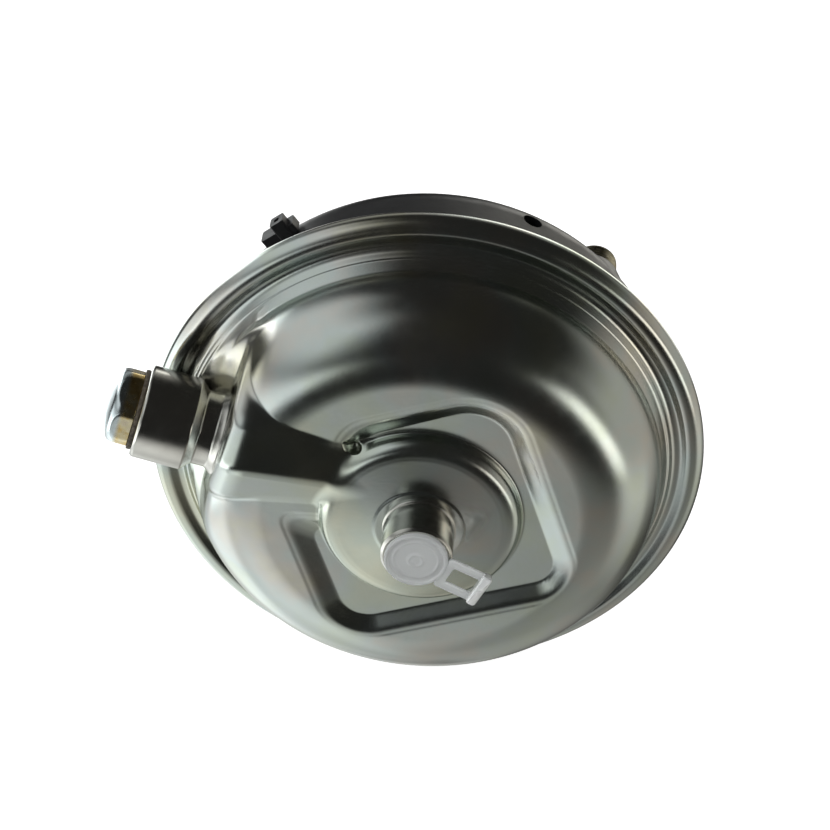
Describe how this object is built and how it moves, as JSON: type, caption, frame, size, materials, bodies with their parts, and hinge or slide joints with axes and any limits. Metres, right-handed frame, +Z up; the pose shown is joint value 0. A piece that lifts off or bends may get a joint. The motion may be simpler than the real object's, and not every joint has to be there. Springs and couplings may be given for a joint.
{
  "type": "air brake chamber",
  "caption": "Diaphragm service brake chamber for an air disc brake: air pressure on a diaphragm pushes a rod out between two mounting studs.",
  "frame": {"origin": "centre of the mounting face, midway between the two studs", "axes": "+Y along the chamber's axis, out of the mounting face (the way the push rod moves); -Y towards the cover and its axial port; +Z up"},
  "size_m": [0.1964, 0.1404, 0.186],
  "materials": {
    "zinc_plated_steel": "zinc plated and passivated, greenish bright pressed steel",
    "zinc_turned_steel": "zinc plated turned steel, smooth",
    "yellow_zinc_steel": "yellow passivated steel",
    "seal_fibre": "dark sealing fibre",
    "natural_polyethylene": "translucent white, smooth",
    "black_paint": "satin black paint over steel",
    "stud_steel": "zinc plated stud",
    "black_plastic": "black moulded plastic",
    "diaphragm_rubber": "fabric reinforced black rubber",
    "boot_rubber": "black rubber",
    "plate_steel": "zinc plated pressed steel",
    "rod_steel": "turned steel, bright",
    "spring_steel": "dark spring steel"
  },
  "bodies": {
    "housing": {"pressure_housing": "zinc_plated_steel", "axial_port_boss": "zinc_turned_steel", "side_port_boss": "zinc_turned_steel", "non_pressure_housing": "black_paint", "stud_plate": "black_paint", "upper_mounting_stud": "stud_steel", "lower_mounting_stud": "stud_steel", "vent_plug_top": "black_plastic", "vent_plug_left": "black_plastic", "vent_plug_bottom": "black_plastic", "diaphragm": "diaphragm_rubber", "return_spring": "spring_steel", "gaiter": "boot_rubber", "gaiter_retaining_ring": "plate_steel", "mounting_face_seal": "boot_rubber"},
    "pushrod": {"push_plate": "plate_steel", "push_rod": "rod_steel", "gaiter_clip": "spring_steel"},
    "dust_cap": {"port_dust_cap": "natural_polyethylene"},
    "plug_seal": {"side_port_plug_seal": "seal_fibre"},
    "plug": {"side_port_plug": "yellow_zinc_steel"}
  },
  "joints": [
    {"name": "pushrod_slide", "type": "slide", "parent": "housing", "child": "pushrod", "axis": [0, 1, 0], "range_m": [0, 0.057], "stiffness_N_per_m": 2000, "springref_m": -0.035, "deforming": ["return_spring", "diaphragm", "gaiter"]},
    {"name": "dust_cap_pull", "type": "slide", "parent": "housing", "child": "dust_cap", "axis": [0, -1, 0], "range_m": [0, 0.06]},
    {"name": "plug_unscrew_travel", "type": "slide", "parent": "housing", "child": "plug_seal", "axis": [-0.9578, 0, 0.2874], "range_m": [0, 0.0105]},
    {"name": "plug_unscrew_turn", "type": "hinge", "parent": "plug_seal", "child": "plug", "pos_m": [-0.09578, -0.0736, 0.02874], "axis": [-0.9578, 0, 0.2874], "range_deg": [0, 2520]}
  ],
  "couplings": [
    {"joint": "plug_unscrew_turn", "follows": "plug_unscrew_travel", "rad_per_m": 4188.8}
  ]
}
